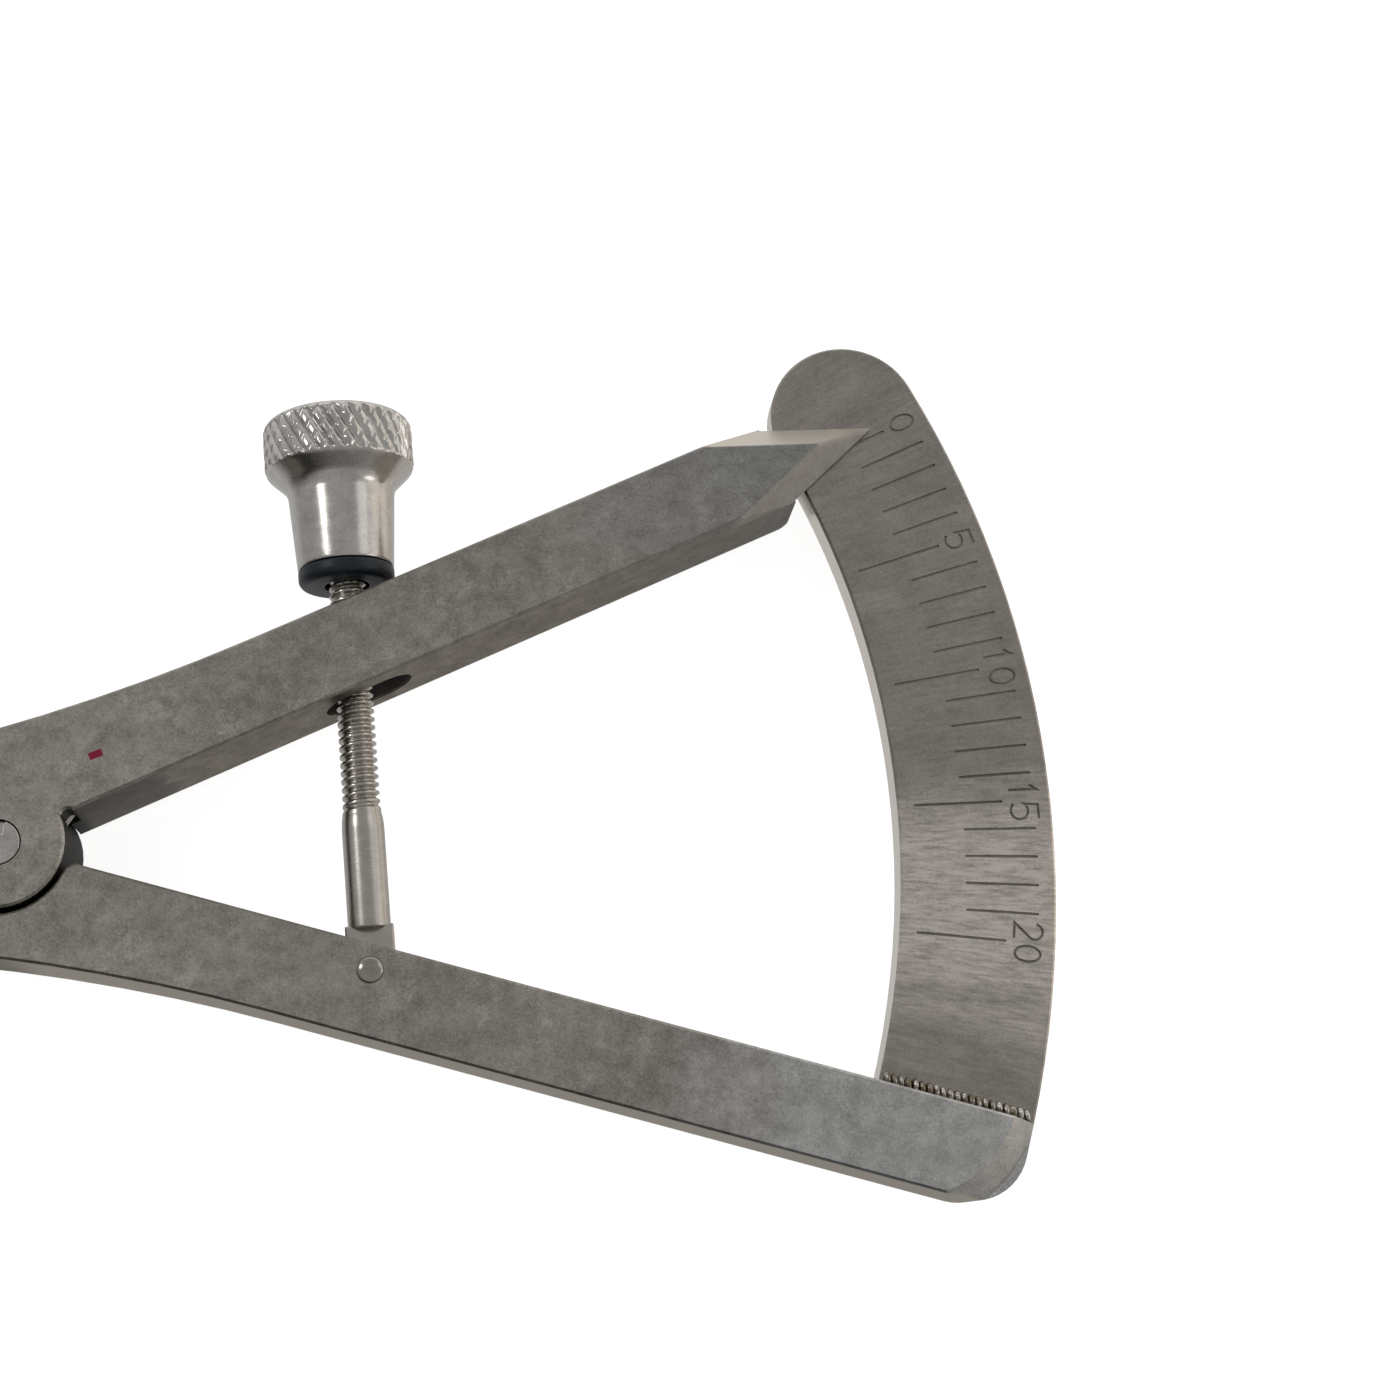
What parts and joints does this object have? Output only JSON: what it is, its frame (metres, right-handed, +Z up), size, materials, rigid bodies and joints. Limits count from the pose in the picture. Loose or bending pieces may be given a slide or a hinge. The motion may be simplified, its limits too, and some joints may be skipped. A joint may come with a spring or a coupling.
{
  "type": "spring calliper",
  "caption": "Small stainless spring calliper: two half-lapped arms with fine jaws, arc scale and pointer, set by a knurled thumb nut on a pinned screw.",
  "frame": {"origin": "middle of the instrument's underside, under the centre of its bounding box, with the instrument lying flat", "axes": "+X from the jaw points towards the scale, along the centre line of the closed instrument; +Y from the scale arm towards the pointer arm and the thumb nut; +Z up, out of the scale's engraved face"},
  "size_m": [0.0789, 0.0372, 0.0064],
  "materials": {
    "satin_steel": "satin, fine bead-blasted grain",
    "brushed_plate": "brushed along the plate's radii",
    "weld_steel": "bright rippled beads",
    "bright_steel": "polished",
    "spring_steel": "drawn wire",
    "screw_steel": "turned and threaded",
    "black_rubber": "matt black"
  },
  "bodies": {
    "scale_side": {"scale_arm": "satin_steel", "scale_plate": "brushed_plate", "weld_bead_top": "weld_steel", "weld_bead_under": "weld_steel", "pivot_screw": "bright_steel", "torsion_spring": "spring_steel", "cross_pin": "bright_steel"},
    "pointer_side": {"pointer_arm": "satin_steel"},
    "screw": {"adjusting_screw": "screw_steel"},
    "ring": {"friction_ring": "black_rubber"},
    "nut": {"thumb_nut": "bright_steel"}
  },
  "joints": [
    {"name": "arm_pivot", "type": "hinge", "parent": "scale_side", "child": "pointer_side", "pos_m": [-0.00365, -0.00093, 0.00318], "axis": [0, 0, -1], "range_deg": [0, 32.4], "stiffness_Nm_per_rad": 0.02, "springref_deg": -20.05, "deforming": ["torsion_spring"]},
    {"name": "screw_swing", "type": "hinge", "parent": "scale_side", "child": "screw", "pos_m": [0.0106, -0.00728, 0.00318], "axis": [0, 0, -1], "range_deg": [0, 16.21]},
    {"name": "nut_travel", "type": "slide", "parent": "screw", "child": "ring", "axis": [0, -1, 0], "range_m": [0, 0.00921]},
    {"name": "nut_spin", "type": "hinge", "parent": "ring", "child": "nut", "pos_m": [0.0106, -0.00728, 0.00318], "axis": [0, -1, 0], "range_deg": [0, 9464]}
  ],
  "couplings": [
    {"joint": "screw_swing", "follows": "arm_pivot", "ratio": 0.5},
    {"joint": "nut_travel", "follows": "arm_pivot", "m_per_rad": 0.016269},
    {"joint": "nut_spin", "follows": "arm_pivot", "ratio": 292.06}
  ]
}
